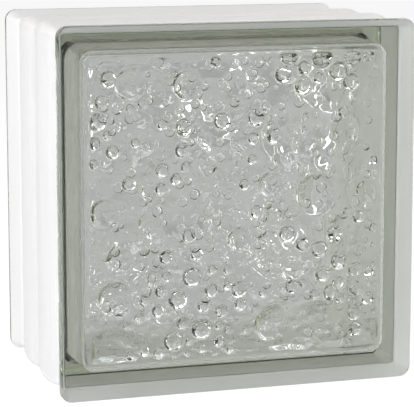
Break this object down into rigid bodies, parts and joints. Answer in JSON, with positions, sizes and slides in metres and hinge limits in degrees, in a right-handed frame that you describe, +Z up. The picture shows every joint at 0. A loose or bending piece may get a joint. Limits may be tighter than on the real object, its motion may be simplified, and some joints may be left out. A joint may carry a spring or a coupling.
{
  "type": "glass block",
  "caption": "Square hollow glass building block: clear pressed shells fused at the seam, bubble relief inside and a white coated mortar channel round the edge.",
  "frame": {"origin": "centre of the underside of the bounding box, on the floor under the block's middle", "axes": "+X along the width, +Y along the depth from the front face at -Y to the back face, +Z up"},
  "size_m": [0.146, 0.098, 0.146],
  "materials": {
    "clear_glass": "clear pressed glass, fire polished, with a faint grey-green cast where it is thick",
    "edge_coating": "opaque white matt coating, sprayed on the channel"
  },
  "bodies": {
    "root": {"front_shell": "clear_glass", "back_shell": "clear_glass", "edge_coating": "edge_coating"}
  },
  "joints": []
}
